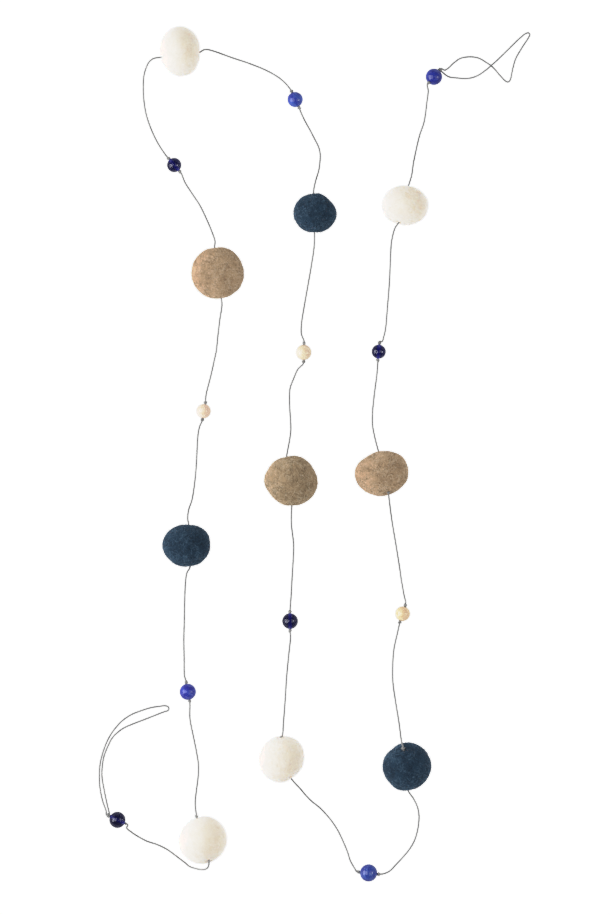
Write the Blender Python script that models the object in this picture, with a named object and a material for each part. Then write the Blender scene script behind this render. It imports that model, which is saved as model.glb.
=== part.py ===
"""Felt garland, laid out loosely on a flat surface.

Hand-rolled felt balls and drilled glass beads are threaded in turn on one waxed cord. The cord is
knotted on both sides of every bead and ends in a hanging loop at both ends. Metres, +Z up; the
surface is z = 0 and the origin lies on it, under the middle of the balls and beads.
"""
import math

import bmesh
import bpy
import numpy as np
from mathutils import Euler, Vector

MM = 0.001

# Cord
CORD_RADIUS = 0.5 * MM
CORD_REST_HEIGHT = 0.55 * MM  # centre line of a cord that lies on the surface
LONGEST_STEP = 6.0 * MM  # between two points of a cord's tube
SHORTEST_STEP = 1.2 * MM  # unless a knot needs less
SAG_OF_STEP = 0.08 * MM  # how far the smooth route may leave the tube's straight steps
ROUTE_SPACING = 0.25 * MM  # of the smooth route that the tube's points are read from
SAMPLES_PER_SPAN = 40  # of the smooth curve between two of the route's own points
HEIGHT_SMOOTHING = 3.0 * MM  # length over which the cord eases from a bore into the open

# Clearances
BORE_CLEARANCE = 0.35 * MM  # cord to the wall of the hole that it runs through
END_GAP = 0.3 * MM  # between two stretches of cord that meet inside a bead

# Beads and knots
BEAD_SEAT = 0.96  # height of a bead's centre as a share of its radius
BEAD_SEGMENTS = 12
BEAD_ARCS = 7
KNOT_RADIUS = 1.15 * MM
KNOT_HALF_LENGTH = 1.1 * MM
LOOP_KNOT_RADIUS = 1.4 * MM
LOOP_KNOT_HALF_LENGTH = 1.4 * MM
HOLE_KNOT_RADIUS = 1.0 * MM
HOLE_KNOT_HALF_LENGTH = 1.1 * MM
KNOT_TO_BEAD = 0.1 * MM  # from the end of a knot to the bead
KNOT_STEPS = (-1, -0.5, 0.5, 1)  # the tube's points in a knot, as shares of its half length

# Balls
BALL_FINENESS = 3  # subdivisions of the sphere that a ball is shaped from
BALL_SEAT_DEPTH = 0.6 * MM  # how much of the ball's underside is pressed flat
BORE_LEAD = 3.0 * MM  # straight run inside each hole of a ball
BORE_OVERRUN = 5.0 * MM  # of the hole's cutter past the ball

SHARP_ANGLE = 50  # degrees between two faces above which an edge stays sharp

# Plan distance in which the cord comes down to the surface
BEAD_RUN = 15.0 * MM
BALL_RUN = 36.0 * MM

COLOURS = {  # sRGB colour, roughness
    "white": ((236, 229, 217), 0.95),
    "navy": ((38, 56, 76), 0.95),
    "tan": ((176, 143, 114), 0.95),
    "cobalt": ((20, 18, 70), 0.08),
    "blue": ((50, 55, 175), 0.12),
    "cream": ((236, 208, 172), 0.2),
    "cord": ((120, 118, 116), 0.6),
}

# Beads in order along the cord, in millimetres and degrees: the bore points from the bead before
# to the bead after, azimuth from +X, elevation up from the surface.
BEADS = [
    # name, colour, diameter, x, y, azimuth, elevation
    ("bead_01_cobalt", "cobalt", 10.3, -103.0, -238.0, -25.5, 0),
    ("bead_02_blue", "blue", 10.3, -57.2, -154.7, 100, 0),
    ("bead_03_cream", "cream", 9.2, -46.9, 27.9, 80, 0),
    ("bead_04_cobalt", "cobalt", 9.1, -66.1, 188.0, 131, 0),
    ("bead_05_blue", "blue", 9.7, 12.6, 230.6, -65, 0),
    ("bead_06_cream", "cream", 9.8, 18.2, 66.1, -92, 0),
    ("bead_07_cobalt", "cobalt", 10.0, 9.3, -108.7, -90, 0),
    ("bead_08_blue", "blue", 11.0, 60.4, -272.5, -6, 0),
    ("bead_09_cream", "cream", 9.4, 82.5, -103.9, 73, 0),
    ("bead_10_cobalt", "cobalt", 9.0, 67.0, 66.6, 85, 0),
    ("bead_11_blue", "blue", 10.4, 102.9, 245.4, 49, -27),
]

# Balls in order along the cord, in millimetres: centre in plan and half sizes along X, Y and Z.
BALLS = [
    # name, colour, x, y, half x, half y, half z
    ("ball_01_white", "white", -47.4, -250.8, 15.5, 15.3, 15.0),
    ("ball_02_navy", "navy", -58.1, -59.5, 15.5, 13.9, 14.2),
    ("ball_03_tan", "tan", -37.8, 117.5, 16.9, 16.8, 16.2),
    ("ball_04_white", "white", -62.1, 261.5, 13.0, 16.1, 14.0),
    ("ball_05_navy", "navy", 25.5, 156.5, 14.0, 12.9, 13.2),
    ("ball_06_tan", "tan", 9.8, -17.7, 17.6, 16.2, 15.8),
    ("ball_07_white", "white", 3.7, -198.1, 14.5, 15.1, 14.4),
    ("ball_08_navy", "navy", 85.1, -202.8, 15.9, 15.6, 15.4),
    ("ball_09_tan", "tan", 68.7, -12.6, 17.4, 14.7, 14.8),
    ("ball_10_white", "white", 84.1, 161.6, 14.8, 12.9, 13.4),
]

# What makes each ball uneven: a raised lump, or a flat where the height is negative.
LUMPS = [
    # ball, azimuth, elevation, height mm, spread in degrees
    ("ball_01_white", 50, 10, 0.5, 40),
    ("ball_01_white", 140, 0, -0.8, 32),
    ("ball_01_white", -45, 0, -0.5, 28),
    ("ball_02_navy", 222, 0, -0.5, 30),
    ("ball_02_navy", 40, 5, 0.9, 26),
    ("ball_03_tan", 60, 10, 0.4, 24),
    ("ball_03_tan", -20, 0, 0.5, 24),
    ("ball_04_white", 225, 0, -0.8, 30),
    ("ball_04_white", -50, 10, 0.6, 24),
    ("ball_05_navy", 42, 0, -1.0, 26),
    ("ball_05_navy", 0, 0, 0.2, 20),
    ("ball_05_navy", 80, 0, 0.4, 18),
    ("ball_06_tan", 218, 0, -1.5, 30),
    ("ball_06_tan", 75, 10, 0.7, 26),
    ("ball_06_tan", 25, 0, -0.5, 20),
    ("ball_06_tan", 152, 0, -0.6, 20),
    ("ball_07_white", 135, 0, -0.9, 32),
    ("ball_07_white", -48, 0, -0.9, 28),
    ("ball_07_white", 38, 5, 1.0, 26),
    ("ball_08_navy", 132, 0, -1.0, 26),
    ("ball_08_navy", 215, 0, -0.4, 18),
    ("ball_08_navy", 250, 0, 0.4, 18),
    ("ball_08_navy", -42, 0, -0.4, 24),
    ("ball_09_tan", 128, 0, -1.4, 26),
    ("ball_09_tan", 45, 5, 1.1, 26),
    ("ball_09_tan", -48, 0, -0.7, 24),
    ("ball_10_white", 50, 0, -0.4, 24),
    ("ball_10_white", -30, 20, 0.4, 30),
]

# The cord's route through each ball, in millimetres. The plan points run from the bead before to
# the ball, and from the ball to the bead after. The holes are x, y and height, and the runs are the
# plan distances in which the cord comes down outside them, in metres.
STRETCHES = [
    {
        "to_ball": [(-97.0, -243.2), (-94.0, -246.0), (-90.8, -248.3), (-84.1, -252.0), (-77.5, -254.2),
                    (-70.9, -257.4), (-63.5, -262.8), (-59.5, -265.8), (-56.0, -268.6), (-50.5, -270.1),
                    (-46.0, -269.8), (-43.9, -268.0)],
        "hole_in": (-43.3, -264.1, 20.0), "run_in": 15 * MM,
        "hole_out": (-51.2, -235.8, 14.6), "run_out": BALL_RUN, "knots": ("out",),
        "to_bead": [(-52.1, -230.0), (-52.3, -226.0), (-51.6, -218.9), (-50.5, -209.8), (-50.3, -203.1),
                    (-51.8, -193.1), (-53.8, -183.3), (-55.9, -172.2)],
    },
    {
        "to_ball": [(-59.4, -144.3), (-59.7, -133.2), (-59.9, -120.9), (-59.6, -108.5), (-59.3, -96.2),
                    (-58.7, -83.9), (-57.7, -77.2)],
        "hole_in": (-55.7, -73.6, 13.4), "run_in": BALL_RUN,
        "hole_out": (-56.6, -45.2, 13.6), "run_out": BALL_RUN, "knots": (),
        "to_bead": [(-57.2, -42.2), (-56.6, -36.4), (-54.5, -29.9), (-52.6, -17.0), (-51.6, -3.9),
                    (-51.3, 2.0), (-51.0, 8.5), (-50.4, 14.3), (-49.4, 18.4)],
    },
    {
        "to_ball": [(-45.4, 38.4), (-44.2, 43.6), (-42.2, 51.4), (-40.5, 59.1), (-38.7, 67.6),
                    (-38.0, 74.1), (-36.4, 87.1), (-34.9, 97.0)],
        "hole_in": (-35.3, 100.8, 15.6), "run_in": BALL_RUN,
        "hole_out": (-39.7, 134.2, 15.6), "run_out": BALL_RUN, "knots": (),
        "to_bead": [(-39.4, 138.1), (-41.2, 143.7), (-44.8, 152.3), (-49.4, 161.8), (-54.6, 169.7),
                    (-59.3, 177.1)],
    },
    {
        "to_ball": [(-74.1, 198.0), (-77.4, 203.5), (-80.8, 210.6), (-84.1, 220.0), (-85.7, 228.5),
                    (-86.3, 238.1), (-85.8, 245.7), (-84.3, 250.9), (-82.2, 254.8), (-79.3, 256.9)],
        "hole_in": (-74.7, 257.6, 13.4), "run_in": BALL_RUN,
        "hole_out": (-49.1, 261.0, 13.4), "run_out": BALL_RUN, "knots": (),
        "to_bead": [(-46.9, 262.4), (-44.5, 262.7), (-40.2, 261.7), (-28.8, 257.9), (-17.4, 254.3),
                    (-5.9, 249.6), (1.7, 245.2), (6.5, 241.0)],
    },
    {
        "to_ball": [(16.8, 221.2), (19.1, 216.5), (22.1, 211.2), (25.1, 205.4), (27.8, 200.0),
                    (28.9, 195.3), (28.8, 190.7), (28.0, 184.6), (26.1, 178.1), (24.9, 172.9)],
        "hole_in": (24.5, 169.1, 12.6), "run_in": BALL_RUN,
        "hole_out": (25.2, 143.7, 12.6), "run_out": BALL_RUN, "knots": (),
        "to_bead": [(24.9, 134.6), (23.0, 121.8), (20.8, 109.2), (18.5, 96.2), (16.7, 84.5), (16.7, 78.0)],
    },
    {
        "to_ball": [(14.4, 55.2), (11.2, 48.1), (9.3, 42.9), (8.9, 36.4), (9.1, 29.3), (9.5, 23.4),
                    (9.8, 15.6), (9.0, 9.1), (7.9, 3.2)],
        "hole_in": (7.1, -1.7, 15.4), "run_in": BALL_RUN,
        "hole_out": (10.4, -33.7, 15.0), "run_out": BALL_RUN, "knots": (),
        "to_bead": [(10.1, -39.7), (10.2, -46.2), (11.6, -59.2), (11.3, -68.9), (10.6, -80.6), (9.9, -93.6)],
    },
    {
        "to_ball": [(9.6, -118.6), (8.4, -130.7), (7.1, -144.3), (5.9, -163.2), (4.9, -176.2),
                    (4.5, -182.0)],
        "hole_in": (3.6, -184.9, 16.0), "run_in": BALL_RUN, "knots": ("in",),
        "hole_out": (10.1, -210.7, 13.4), "run_out": BALL_RUN,
        "to_bead": [(15.6, -217.1), (22.3, -224.9), (28.8, -230.4), (35.3, -237.6), (39.8, -244.1),
                    (43.1, -250.6), (46.8, -259.4), (48.6, -264.9), (51.6, -270.0)],
    },
    {
        "to_ball": [(70.4, -273.0), (74.1, -271.4), (78.4, -267.2), (82.1, -263.2), (86.0, -258.7),
                    (89.7, -252.9), (91.8, -247.0), (93.0, -240.5), (93.2, -235.0), (92.1, -229.5),
                    (89.5, -224.2), (86.3, -219.3)],
        "hole_in": (85.9, -214.3, 5.0), "run_in": 11 * MM,
        "hole_out": (82.8, -191.1, 25.0), "run_out": 42 * MM, "knots": ("out",),
        "to_bead": [(81.5, -185.9), (80.0, -174.2), (77.8, -160.2), (76.2, -148.2), (76.1, -137.6),
                    (76.9, -127.1), (79.1, -116.7)],
    },
    {
        "to_ball": [(83.4, -91.5), (81.7, -81.9), (80.8, -75.4), (78.2, -59.1), (75.4, -42.9),
                    (73.6, -29.7)],
        "hole_in": (72.9, -24.1, 20.0), "run_in": 40 * MM, "knots": ("in",),
        "hole_out": (66.9, 1.1, 10.5), "run_out": 30 * MM,
        "to_bead": [(64.7, 9.5), (63.0, 18.5), (63.0, 27.3), (64.1, 38.5), (65.8, 52.0)],
    },
    {
        "to_ball": [(69.1, 73.1), (70.3, 76.5), (71.4, 81.2), (72.6, 94.6), (74.0, 112.5), (74.8, 132.6),
                    (75.3, 138.5), (77.5, 146.9)],
        "hole_in": (79.9, 150.3, 16.0), "run_in": BALL_RUN,
        "hole_out": (86.1, 173.9, 12.0), "run_out": BALL_RUN, "knots": (),
        "to_bead": [(88.3, 181.0), (89.4, 188.5), (91.4, 198.2), (93.7, 207.7), (96.3, 215.3),
                    (97.4, 221.0), (98.2, 228.0), (99.1, 236.2)],
    },
]

# The two hanging loops in plan, in millimetres, from the knot at the end bead round the loop and
# back to the same knot.
LOOP_A = [
    (-110.3, -232.5), (-112.6, -226.2), (-114.4, -218.1), (-114.9, -211.2), (-114.6, -203.2),
    (-113.2, -196.3), (-110.1, -187.6), (-107.3, -182.4), (-104.6, -178.6), (-99.9, -173.6),
    (-94.1, -169.7), (-87.6, -167.1), (-81.1, -165.1), (-75.9, -164.3), (-72.4, -163.9),
    (-70.4, -164.4), (-69.6, -165.7), (-70.4, -167.1), (-72.6, -167.8), (-77.5, -169.7),
    (-85.6, -172.9), (-92.4, -175.5), (-99.0, -178.4), (-103.4, -181.6), (-106.6, -185.0),
    (-108.7, -188.9), (-111.8, -196.5), (-113.0, -203.3), (-113.2, -210.0), (-111.9, -218.1),
    (-110.3, -225.6), (-109.1, -230.5),
]
LOOP_A_END = (-108.3, -233.6)
LOOP_B = [
    (110.0, 249.9), (112.6, 251.5), (115.2, 254.0), (120.0, 257.5), (126.1, 258.6), (131.9, 257.8),
    (137.1, 254.9), (141.0, 252.1), (145.7, 246.8), (149.3, 243.0), (151.2, 242.2), (152.6, 243.6),
    (154.2, 250.6), (156.2, 257.4), (160.5, 264.9), (164.6, 271.2), (165.4, 273.2), (164.4, 274.2),
    (162.6, 273.7), (159.6, 271.4), (155.3, 267.3), (147.6, 259.7), (140.4, 253.0), (135.2, 248.8),
    (130.4, 245.9), (124.7, 244.5), (118.1, 244.8), (112.4, 245.7),
]
LOOP_B_END = (108.7, 248.3)
LOOP_B_CROSSING = (140.4, 253.0)  # the point of the returning strand that lies over the other
CROSSING_LIFT = 1.45 * MM  # of the upper strand where a loop's two strands cross
CROSSING_REACH = 14.0 * MM


def linear_colour(rgb):
    """Linear RGBA from an sRGB colour in 0 to 255."""
    return [c / 12.92 if c <= 0.04045 else ((c + 0.055) / 1.055) ** 2.4 for c in (v / 255 for v in rgb)] + [1.0]


def make_material(name):
    rgb, roughness = COLOURS[name]
    material = bpy.data.materials.new(name)
    material.use_nodes = True
    shader = material.node_tree.nodes["Principled BSDF"]
    shader.inputs["Base Color"].default_value = linear_colour(rgb)
    shader.inputs["Roughness"].default_value = roughness
    shader.inputs["Metallic"].default_value = 0.0
    return material


def add_object(name, data, material):
    data.materials.append(material)
    thing = bpy.data.objects.new(name, data)
    bpy.context.scene.collection.objects.link(thing)
    return thing


def direction(azimuth, elevation):
    """Unit vector from an azimuth and an elevation in degrees."""
    a, e = math.radians(azimuth), math.radians(elevation)
    return np.array([math.cos(e) * math.cos(a), math.cos(e) * math.sin(a), math.sin(e)])


def path_length(path):
    """Distance along a path at each of its points."""
    return np.concatenate([[0.0], np.cumsum(np.linalg.norm(np.diff(path, axis=0), axis=1))])


def smooth_route(points):
    """Centripetal Catmull-Rom curve through the points, SAMPLES_PER_SPAN of its own points to each span."""
    p = np.array(points, float)
    p = np.vstack([2 * p[0] - p[1], p, 2 * p[-1] - p[-2]])
    t = np.concatenate([[0.0], np.cumsum(np.sqrt(np.linalg.norm(np.diff(p, axis=0), axis=1)))])
    u = np.linspace(0, 1, SAMPLES_PER_SPAN, endpoint=False)[:, None]
    spans = []
    for i in range(1, len(p) - 2):
        slopes = [
            (p[j] - p[j - 1]) / (t[j] - t[j - 1])
            - (p[j + 1] - p[j - 1]) / (t[j + 1] - t[j - 1])
            + (p[j + 1] - p[j]) / (t[j + 1] - t[j])
            for j in (i, i + 1)
        ]
        spans.append(
            (2 * u**3 - 3 * u**2 + 1) * p[i]
            + (u**3 - 2 * u**2 + u) * slopes[0] * (t[i + 1] - t[i])
            + (3 * u**2 - 2 * u**3) * p[i + 1]
            + (u**3 - u**2) * slopes[1] * (t[i + 1] - t[i])
        )
    return np.vstack(spans + [p[-2:-1]])


def eased(distance, run):
    """1 at no distance, falling smoothly to 0 at the end of the run."""
    share = np.clip(distance / run, 0, 1)
    return 1 - share * share * (3 - 2 * share)


def lay_cord(plan, held, lifts=()):
    """A cord's centre line in the round, evenly spaced in plan, and the distances of its plan points.

    held rows: first and last plan point of a stretch that something holds up, the height at both, and
    the runs in which the cord comes down before and after it. lifts rows: plan point, height, reach.
    """
    curve = smooth_route(plan)
    along = path_length(curve)
    marks = along[::SAMPLES_PER_SPAN]
    s = np.linspace(0, along[-1], int(along[-1] / ROUTE_SPACING))
    height = np.full_like(s, CORD_REST_HEIGHT)
    for first, last, z_first, z_last, run_before, run_after in held:
        height += (z_first - CORD_REST_HEIGHT) * np.where(s < marks[first], eased(marks[first] - s, run_before), 0)
        height += (z_last - CORD_REST_HEIGHT) * np.where(s > marks[last], eased(s - marks[last], run_after), 0)
    for first, last, z_first, z_last, _, _ in held:
        inside = (s >= marks[first]) & (s <= marks[last])
        height[inside] = np.interp(s[inside], [marks[first], marks[last]], [z_first, z_last])
    for point, lift, reach in lifts:
        height += lift * (1 + np.cos(np.pi * np.clip(np.abs(s - marks[point]) / reach, 0, 1))) / 2
    width = int(HEIGHT_SMOOTHING / ROUTE_SPACING) // 2
    padded = np.pad(height, width, mode="edge")
    height = np.convolve(padded, np.full(2 * width + 1, 1 / (2 * width + 1)), mode="valid")
    return np.column_stack([np.interp(s, along, curve[:, 0]), np.interp(s, along, curve[:, 1]), height]), s, marks


def cord_radius(at, knots):
    """Radius of the cord at a distance along it: knots are (centre, half length, radius)."""
    radius = CORD_RADIUS
    for centre, half_length, knot_radius in knots:
        share = abs(at - centre) / half_length
        if share < 1:
            radius = max(radius, CORD_RADIUS + (knot_radius - CORD_RADIUS) * math.sqrt(1 - share * share))
    return radius


def tube_points(path, s, knots):
    """Points and radii of the tube, closer together where the path bends or a knot swells."""
    wanted = sorted(centre + share * half for centre, half, _ in knots for share in KNOT_STEPS)
    stops = [0, *(int(np.argmin(np.abs(s - w))) for w in wanted), len(s) - 1]
    kept = [0]
    while kept[-1] < len(s) - 1:
        start = kept[-1]
        limit = min(stop for stop in stops if stop > start)
        end = start + 1
        while end < limit:
            chord = path[end + 1] - path[start]
            offset = path[start + 1:end + 1] - path[start]
            sag = np.linalg.norm(np.cross(offset, chord), axis=1).max() / np.linalg.norm(chord)
            if np.linalg.norm(chord) > LONGEST_STEP:
                break
            if sag > SAG_OF_STEP and np.linalg.norm(chord) > SHORTEST_STEP:
                break
            end += 1
        kept.append(end)
    return path[kept], np.array([cord_radius(s[k], knots) for k in kept]), s[kept]


def tube_curve(name, points, radii):
    """Curve data of a round tube with closed ends."""
    curve = bpy.data.curves.new(name, "CURVE")
    curve.dimensions = "3D"
    curve.bevel_depth = CORD_RADIUS
    curve.bevel_resolution = 2
    curve.use_fill_caps = True
    spline = curve.splines.new("POLY")
    spline.points.add(len(points) - 1)
    for spot, point, radius in zip(spline.points, points, radii):
        spot.co = (*point, 1.0)
        spot.radius = radius / CORD_RADIUS
    return curve


def bead_frame(bead):
    """Centre, bore direction and radius of a bead."""
    _, _, diameter, x, y, azimuth, elevation = bead
    radius = diameter / 2 * MM
    return np.array([x * MM, y * MM, BEAD_SEAT * radius]), direction(azimuth, elevation), radius


def bead_lead(bead, side, knot_half, knot_radius):
    """The cord's way out of a bead: three points from the middle of the bore to past the knot, and the knot."""
    centre, bore, radius = bead_frame(bead)
    knot_end = radius + KNOT_TO_BEAD + 2 * knot_half
    points = [centre + side * bore * reach for reach in (END_GAP / 2, radius, knot_end)]
    flat = math.hypot(bore[0], bore[1])
    knot = ((knot_end - knot_half - END_GAP / 2) * flat, knot_half * flat, knot_radius)
    return points, knot


def make_stretch(number, stretch, bead_before, bead_after, material):
    """One stretch of cord, from bead to bead through one ball. Returns the cutter of the ball's bore."""
    lead, knot_before = bead_lead(bead_before, 1, KNOT_HALF_LENGTH, KNOT_RADIUS)
    tail, knot_after = bead_lead(bead_after, -1, KNOT_HALF_LENGTH, KNOT_RADIUS)
    hole_in, hole_out = (np.array(stretch[key]) * MM for key in ("hole_in", "hole_out"))
    inward = (hole_out - hole_in) / np.linalg.norm(hole_out - hole_in) * BORE_LEAD
    plan = [point[:2] for point in lead]
    plan += [np.array(point) * MM for point in stretch["to_ball"]]
    first = len(plan)
    plan += [point[:2] for point in (hole_in, hole_in + inward, hole_out - inward, hole_out)]
    last = len(plan) - 1
    plan += [np.array(point) * MM for point in stretch["to_bead"]]
    plan += [point[:2] for point in reversed(tail)]
    held = [
        (0, 2, lead[0][2], lead[2][2], BEAD_RUN, BEAD_RUN),
        (first, last, hole_in[2], hole_out[2], stretch["run_in"], stretch["run_out"]),
        (len(plan) - 3, len(plan) - 1, tail[2][2], tail[0][2], BEAD_RUN, BEAD_RUN),
    ]
    path, s, marks = lay_cord(plan, held)
    knots = [knot_before, (s[-1] - knot_after[0], knot_after[1], knot_after[2])]
    if "in" in stretch["knots"]:
        knots.append((marks[first] - HOLE_KNOT_HALF_LENGTH, HOLE_KNOT_HALF_LENGTH, HOLE_KNOT_RADIUS))
    if "out" in stretch["knots"]:
        knots.append((marks[last] + HOLE_KNOT_HALF_LENGTH, HOLE_KNOT_HALF_LENGTH, HOLE_KNOT_RADIUS))
    points, radii, at = tube_points(path, s, knots)
    add_object(f"cord_{number:02d}", tube_curve(f"cord_{number:02d}", points, radii), material)
    bored = (at > marks[first] - BORE_OVERRUN) & (at < marks[last] + BORE_OVERRUN)
    return make_cutter(f"bore_{number:02d}", points[bored], radii[bored] + BORE_CLEARANCE)


def make_loop(name, bead, side, route, end, lifts, material):
    """A hanging loop: out of the bead's bore, through the knot, round the route and back to the knot."""
    lead, knot = bead_lead(bead, side, LOOP_KNOT_HALF_LENGTH, LOOP_KNOT_RADIUS)
    plan = [point[:2] for point in lead] + [np.array(point) * MM for point in [*route, end]]
    held = [
        (0, 2, lead[0][2], lead[2][2], BEAD_RUN, BEAD_RUN),
        (len(plan) - 1, len(plan) - 1, lead[2][2], lead[2][2], BEAD_RUN, BEAD_RUN),
    ]
    path, s, _ = lay_cord(plan, held, [(point + len(lead), lift, reach) for point, lift, reach in lifts])
    points, radii, _ = tube_points(path, s, [knot])
    add_object(name, tube_curve(name, points, radii), material)


def make_cutter(name, points, radii):
    """Hidden mesh tube that cuts the cord's way through a ball."""
    tube = bpy.data.objects.new(name, tube_curve(name, points, radii))
    cutter = bpy.data.objects.new(name, bpy.data.meshes.new_from_object(tube))
    bpy.data.objects.remove(tube)
    bpy.context.scene.collection.objects.link(cutter)
    cutter.hide_render = True
    cutter.display_type = "WIRE"
    return cutter


def press_flat(shape, height):
    """Cuts a shape off at a height and closes it with one flat face, which it rests on."""
    everything = shape.verts[:] + shape.edges[:] + shape.faces[:]
    bmesh.ops.bisect_plane(shape, geom=everything, plane_co=(0, 0, height), plane_no=(0, 0, 1), clear_inner=True)
    rim = [edge for edge in shape.edges if edge.is_boundary]
    bmesh.ops.contextual_create(shape, geom=rim)
    bmesh.ops.recalc_face_normals(shape, faces=shape.faces)


def finish_mesh(name, shape):
    mesh = bpy.data.meshes.new(name)
    shape.to_mesh(mesh)
    shape.free()
    mesh.shade_smooth()
    mesh.set_sharp_from_angle(angle=math.radians(SHARP_ANGLE))
    return mesh


def make_ball(ball, cutter, material):
    """A felt ball: a lumpy sphere, pressed flat where it rests and pierced along the cord's route."""
    name, _, x, y, *half_sizes = ball
    half = np.array(half_sizes) * MM
    lumps = [
        (direction(azimuth, elevation), height * MM, math.radians(spread))
        for owner, azimuth, elevation, height, spread in LUMPS if owner == name
    ]
    shape = bmesh.new()
    bmesh.ops.create_icosphere(shape, subdivisions=BALL_FINENESS, radius=1.0)
    for vert in shape.verts:
        outward = np.array(vert.co.normalized())
        place = outward * half
        for towards, height, spread in lumps:
            angle = math.acos(max(-1.0, min(1.0, float(outward @ towards))))
            place = place + outward * height * math.exp(-(angle / spread) ** 2)
        vert.co = Vector(place)
    press_flat(shape, -half[2] + BALL_SEAT_DEPTH)
    thing = add_object(name, finish_mesh(name, shape), material)
    thing.location = (x * MM, y * MM, half[2] - BALL_SEAT_DEPTH)
    bore = thing.modifiers.new("bore", "BOOLEAN")
    bore.operation = "DIFFERENCE"
    bore.solver = "EXACT"
    bore.object = cutter


def make_bead(bead, material):
    """A drilled glass bead: a turned ring around its bore, pressed flat where it rests."""
    name, _, _, _, _, azimuth, elevation = bead
    centre, _, radius = bead_frame(bead)
    bore_radius = CORD_RADIUS + BORE_CLEARANCE
    mouth = math.asin(bore_radius / radius)
    angles = [mouth + (math.pi - 2 * mouth) * i / BEAD_ARCS for i in range(BEAD_ARCS + 1)]
    profile = [(radius * math.cos(angle), radius * math.sin(angle)) for angle in angles]
    turn = Euler((0, math.radians(-elevation), math.radians(azimuth))).to_matrix()
    shape = bmesh.new()
    rings = [
        [
            shape.verts.new(turn @ Vector((along, across * math.cos(turned), across * math.sin(turned))))
            for along, across in profile
        ]
        for turned in (2 * math.pi * i / BEAD_SEGMENTS for i in range(BEAD_SEGMENTS))
    ]
    for ring, following in zip(rings, rings[1:] + rings[:1]):
        for i in range(len(profile)):
            j = (i + 1) % len(profile)
            shape.faces.new((ring[i], ring[j], following[j], following[i]))
    press_flat(shape, -BEAD_SEAT * radius)
    thing = add_object(name, finish_mesh(name, shape), material)
    thing.location = Vector(centre)


def main():
    for thing in list(bpy.data.objects):
        bpy.data.objects.remove(thing)
    materials = {name: make_material(name) for name in COLOURS}
    for bead in BEADS:
        make_bead(bead, materials[bead[1]])
    for number, (ball, stretch) in enumerate(zip(BALLS, STRETCHES), 1):
        cutter = make_stretch(number, stretch, BEADS[number - 1], BEADS[number], materials["cord"])
        make_ball(ball, cutter, materials[ball[1]])
    make_loop("cord_loop_a", BEADS[0], -1, LOOP_A, LOOP_A_END, [], materials["cord"])
    crossing = LOOP_B.index(LOOP_B_CROSSING)
    make_loop("cord_loop_b", BEADS[-1], 1, LOOP_B, LOOP_B_END,
              [(crossing, CROSSING_LIFT, CROSSING_REACH)], materials["cord"])


main()
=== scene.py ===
"""Felt garland laid out on a white table and seen from straight above."""
import math
from collections import namedtuple

import bmesh
import bpy
import numpy as np
from mathutils import Euler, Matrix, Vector, noise


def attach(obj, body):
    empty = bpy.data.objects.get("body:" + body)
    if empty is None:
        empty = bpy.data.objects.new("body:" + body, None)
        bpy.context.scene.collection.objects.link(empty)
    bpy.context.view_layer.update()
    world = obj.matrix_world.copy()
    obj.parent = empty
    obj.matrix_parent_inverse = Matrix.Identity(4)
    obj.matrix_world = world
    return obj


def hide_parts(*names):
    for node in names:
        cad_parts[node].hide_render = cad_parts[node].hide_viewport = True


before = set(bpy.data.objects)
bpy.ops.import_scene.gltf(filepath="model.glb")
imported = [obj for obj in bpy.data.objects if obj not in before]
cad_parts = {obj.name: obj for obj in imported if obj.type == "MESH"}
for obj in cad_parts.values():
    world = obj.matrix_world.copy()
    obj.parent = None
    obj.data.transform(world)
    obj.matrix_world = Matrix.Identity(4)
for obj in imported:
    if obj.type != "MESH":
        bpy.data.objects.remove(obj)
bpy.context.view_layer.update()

MM = 0.001
random = np.random.default_rng(11)

# Camera
PIXEL = 0.65 * MM  # of the picture, at the height of VIEW_PLANE
PICTURE = (610, 915)
PICTURE_CENTRE = (29.25 * PIXEL, -3.5 * PIXEL)
VIEW_PLANE = 9 * MM
LENS = 300
SENSOR = 36

# Cord, as in the part
CORD_RADIUS = 0.5 * MM
CORD_REST_HEIGHT = 0.55 * MM
ROUTE_SPACING = 0.25 * MM
SAMPLES_PER_SPAN = 40
HEIGHT_SMOOTHING = 3.0 * MM
END_GAP = 0.3 * MM
BEAD_SEAT = 0.96
KNOT_HALF_LENGTH = 1.1 * MM
LOOP_KNOT_HALF_LENGTH = 1.4 * MM
KNOT_TO_BEAD = 0.1 * MM
BALL_SEAT_DEPTH = 0.6 * MM
BORE_LEAD = 3.0 * MM
BEAD_RUN = 15.0 * MM
BALL_RUN = 36.0 * MM

# Twist of the cord, and its tones in sRGB: dark, light and worn
RING_STEP = 0.28 * MM
CORD_SIDES = 9
PLIES = 3
PLY_PITCH = 2.5 * MM
PLY_DEPTH = 0.08  # of the grooves between the plies, as a share of the radius
PLY_FULLNESS = 1.11  # mean radius of the section, as a share of the cord's
CORD_TONES = ((120, 120, 120), (152, 152, 151), (189, 189, 187))

# Knots: how often the strand goes round, how far out its middle runs, and its own radius
Winding = namedtuple("Winding", "turns reach strand")
BEAD_KNOT = Winding(1.8, 0.72 * MM, 0.46 * MM)
LOOP_KNOT = Winding(2.6, 0.95 * MM, 0.46 * MM)
HOLE_KNOT = Winding(1.6, 0.6 * MM, 0.42 * MM)
KNOT_LENGTH = 1.6  # of a wound knot, in half lengths of the knot in the part
KNOT_SNUG = 0.15 * MM  # how far a knot is pulled into its bead
HOLE_KNOT_LENGTH = 1.5 * MM
HOLE_KNOT_OUT = 0.6 * MM  # from the mouth of a ball's hole
KNOT_RINGS = 34
KNOT_RISE = 0.12  # share of a knot's length over which its turns rise from the cord
OVER_RINGS = 14
OVER_START = 1.2  # where the strand over the turns sets out, and how far it goes round, in radians
OVER_TURN = 1.9
OVER_RISE = 0.42  # how far it stands out from the turns, in radii of the strand
OVER_THICKNESS = 0.92  # beside the strand of the turns
FRAY_COUNT = 16
FRAY_LENGTH = 2.6 * MM
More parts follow.
